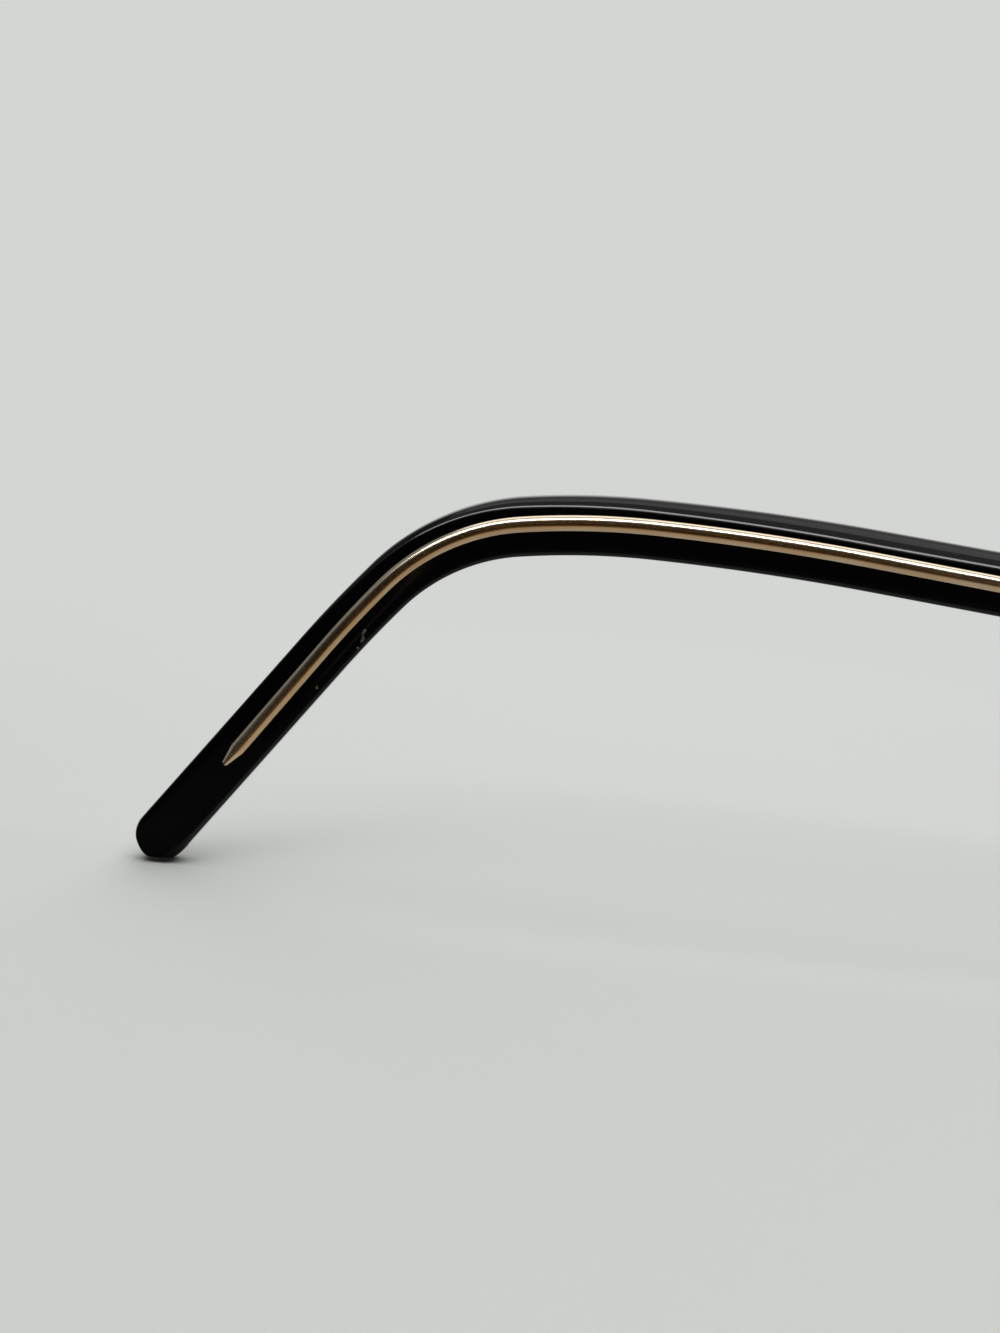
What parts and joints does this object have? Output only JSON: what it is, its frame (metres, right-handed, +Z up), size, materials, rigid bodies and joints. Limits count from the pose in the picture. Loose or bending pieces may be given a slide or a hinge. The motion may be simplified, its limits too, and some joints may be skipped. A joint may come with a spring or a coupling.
{
  "type": "eyeglass frame",
  "caption": "Full-rim metal eyeglass frame with clear lenses, adjustable nose pads and folding black temples that show a gold core wire.",
  "frame": {"origin": "on the table, under the middle of the frame's bounding box, with the frame standing open on its rims and temple tips", "axes": "+Z up, the front faces -Y, the temples run back to +Y, the wearer's left is +X; the frame is symmetric about X = 0"},
  "size_m": [0.136, 0.1401, 0.0389],
  "materials": {
    "gold_metal": "polished pale gold plating on a copper-nickel alloy",
    "gold_screws": "polished gold plating, slotted heads",
    "gold_core": "bright drawn wire with fine lengthwise marks",
    "black_acetate": "polished black cellulose acetate",
    "clear_resin": "clear polished lens resin",
    "clear_silicone": "clear soft silicone"
  },
  "bodies": {
    "front": {"rim_left": "gold_metal", "rim_right": "gold_metal", "lens_left": "clear_resin", "lens_right": "clear_resin", "bridge": "gold_metal", "end_piece_left": "gold_metal", "end_piece_right": "gold_metal", "rim_lock_upper_left": "gold_metal", "rim_lock_upper_right": "gold_metal", "rim_lock_lower_left": "gold_metal", "rim_lock_lower_right": "gold_metal", "front_hinge_left": "gold_metal", "front_hinge_right": "gold_metal", "pad_arm_left": "gold_metal", "pad_arm_right": "gold_metal", "pad_box_left": "gold_metal", "pad_box_right": "gold_metal", "rim_screw_left": "gold_screws", "rim_screw_right": "gold_screws", "hinge_screw_left": "gold_screws", "hinge_screw_right": "gold_screws", "pad_screw_left": "gold_screws", "pad_screw_right": "gold_screws"},
    "temple_left": {"temple_hinge_left": "gold_metal", "core_wire_left": "gold_core", "temple_sleeve_left": "black_acetate"},
    "temple_right": {"temple_hinge_right": "gold_metal", "core_wire_right": "gold_core", "temple_sleeve_right": "black_acetate"},
    "nose_pad_body_left": {"nose_pad_left": "clear_silicone"},
    "nose_pad_body_right": {"nose_pad_right": "clear_silicone"}
  },
  "joints": [
    {"name": "temple_left_fold", "type": "hinge", "parent": "front", "child": "temple_left", "pos_m": [0.06323, -0.05464, 0.02961], "axis": [0, -0.2342, 0.9722], "range_deg": [0, 90]},
    {"name": "temple_right_fold", "type": "hinge", "parent": "front", "child": "temple_right", "pos_m": [-0.06323, -0.05464, 0.02961], "axis": [0, 0.2342, -0.9722], "range_deg": [0, 86]},
    {"name": "nose_pad_left_rock", "type": "hinge", "parent": "front", "child": "nose_pad_body_left", "pos_m": [0.0106, -0.0564, 0.01582], "axis": [0.4695, 0.8584, 0.2068], "range_deg": [-10, 10]},
    {"name": "nose_pad_right_rock", "type": "hinge", "parent": "front", "child": "nose_pad_body_right", "pos_m": [-0.0106, -0.0564, 0.01582], "axis": [0.4695, -0.8584, -0.2068], "range_deg": [-10, 10]}
  ]
}
